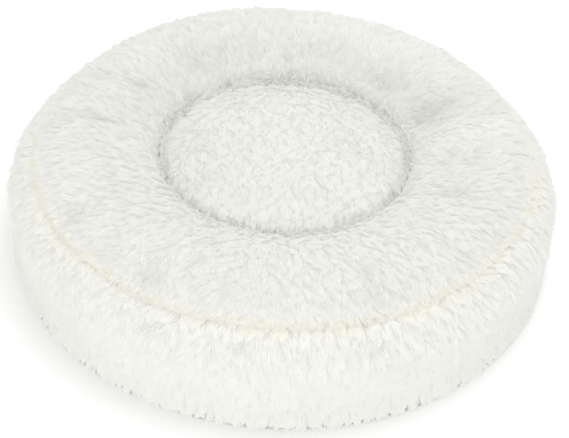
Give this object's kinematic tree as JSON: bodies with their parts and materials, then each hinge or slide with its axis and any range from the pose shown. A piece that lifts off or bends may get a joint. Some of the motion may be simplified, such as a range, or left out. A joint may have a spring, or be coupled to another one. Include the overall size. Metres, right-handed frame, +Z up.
{
  "type": "pet cushion bed",
  "caption": "Round shaggy plush pet bed: a stuffed ring bolster sewn round a sunken padded centre, in a zipped cover on a grippy woven base.",
  "frame": {"origin": "centre of the base, on the surface the bed stands on", "axes": "+Z up; +Y towards the back, where the zip is; +X to the right seen from the front"},
  "size_m": [0.6, 0.6, 0.142],
  "materials": {
    "plush": "long shaggy off-white pile",
    "base_cloth": "woven, with raised grip dots",
    "lining": "plain woven",
    "liner_cloth": "matt non-woven",
    "fibre": "fluffy loose fibre",
    "foam": "open-cell foam",
    "thread": "twisted polyester",
    "zip_tape": "fine woven tape",
    "zip_coil": "satin nylon",
    "zip_metal": "die-cast, nickel plated, satin",
    "label_cloth": "satin ribbon"
  },
  "bodies": {
    "bed": {"ring_top_panel": "plush", "side_band": "plush", "centre_panel": "plush", "base_panel": "base_cloth", "inner_wall": "lining", "bolster_liner": "liner_cloth", "bolster_filling": "fibre", "pad_liner": "liner_cloth", "pad_foam": "foam", "pad_filling": "fibre", "rim_seam_thread": "thread", "well_seam_thread": "thread", "base_seam_thread": "thread", "zip_tape_upper": "zip_tape", "zip_tape_lower": "zip_tape", "zip_coil_upper": "zip_coil", "zip_coil_lower": "zip_coil", "zip_end_stops": "zip_metal", "care_label": "label_cloth"},
    "slider": {"zip_slider": "zip_metal"},
    "pull": {"zip_pull": "zip_metal"}
  },
  "joints": [
    {"name": "zip_run", "type": "hinge", "parent": "bed", "child": "slider", "pos_m": [0, 0, 0.0157], "axis": [0, 0, 1], "range_deg": [0, 134.5]},
    {"name": "pull_flip", "type": "hinge", "parent": "slider", "child": "pull", "pos_m": [0.26723, 0.11136, 0.0157], "axis": [0, 0, -1], "range_deg": [0, 176]}
  ]
}
